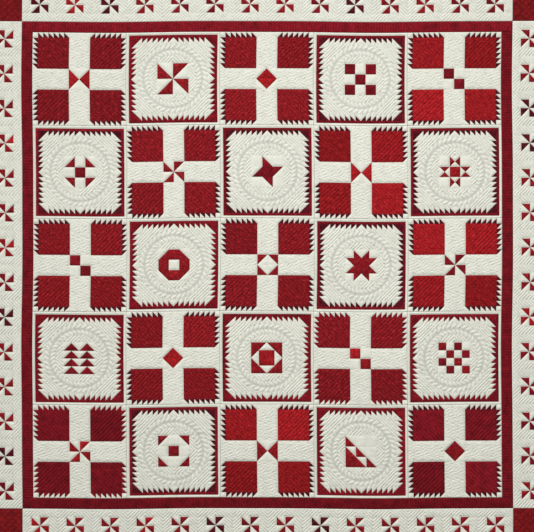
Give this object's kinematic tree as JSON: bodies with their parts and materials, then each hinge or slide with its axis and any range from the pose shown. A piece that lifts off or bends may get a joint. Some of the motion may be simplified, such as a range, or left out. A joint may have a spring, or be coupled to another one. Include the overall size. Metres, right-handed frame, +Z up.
{
  "type": "patchwork quilt",
  "caption": "Square quilted bed cover pieced in red and cream cotton, with a narrow strip, a wide border with corner squares and a folded binding, lying flat with its face up.",
  "frame": {"origin": "middle of the underside, on the surface that the quilt lies on", "axes": "+X across the quilt towards its right side, +Y along it towards its head, +Z up out of its face"},
  "size_m": [2.2976, 2.2811, 0.0064],
  "materials": {
    "cream_cotton": "matt quilting cotton, cream, with a faint tone-on-tone print",
    "crimson_cotton": "matt quilting cotton in several mottled reds, pieced with cream",
    "wine_cotton": "matt quilting cotton, dark wine red"
  },
  "bodies": {
    "root": {"block_1_1": "crimson_cotton", "block_1_2": "cream_cotton", "block_1_3": "crimson_cotton", "block_1_4": "cream_cotton", "block_1_5": "crimson_cotton", "block_2_1": "cream_cotton", "block_2_2": "crimson_cotton", "block_2_3": "cream_cotton", "block_2_4": "crimson_cotton", "block_2_5": "cream_cotton", "block_3_1": "crimson_cotton", "block_3_2": "cream_cotton", "block_3_3": "crimson_cotton", "block_3_4": "cream_cotton", "block_3_5": "crimson_cotton", "block_4_1": "cream_cotton", "block_4_2": "crimson_cotton", "block_4_3": "cream_cotton", "block_4_4": "crimson_cotton", "block_4_5": "cream_cotton", "block_5_1": "crimson_cotton", "block_5_2": "cream_cotton", "block_5_3": "crimson_cotton", "block_5_4": "cream_cotton", "block_5_5": "crimson_cotton", "strip_left": "wine_cotton", "strip_right": "wine_cotton", "strip_head": "wine_cotton", "strip_foot": "wine_cotton", "border_left": "cream_cotton", "border_right": "cream_cotton", "border_head": "cream_cotton", "border_foot": "cream_cotton", "corner_head_left": "crimson_cotton", "corner_head_right": "crimson_cotton", "corner_foot_left": "crimson_cotton", "corner_foot_right": "crimson_cotton", "binding_left": "wine_cotton", "binding_right": "wine_cotton", "binding_head": "wine_cotton", "binding_foot": "wine_cotton"}
  },
  "joints": []
}
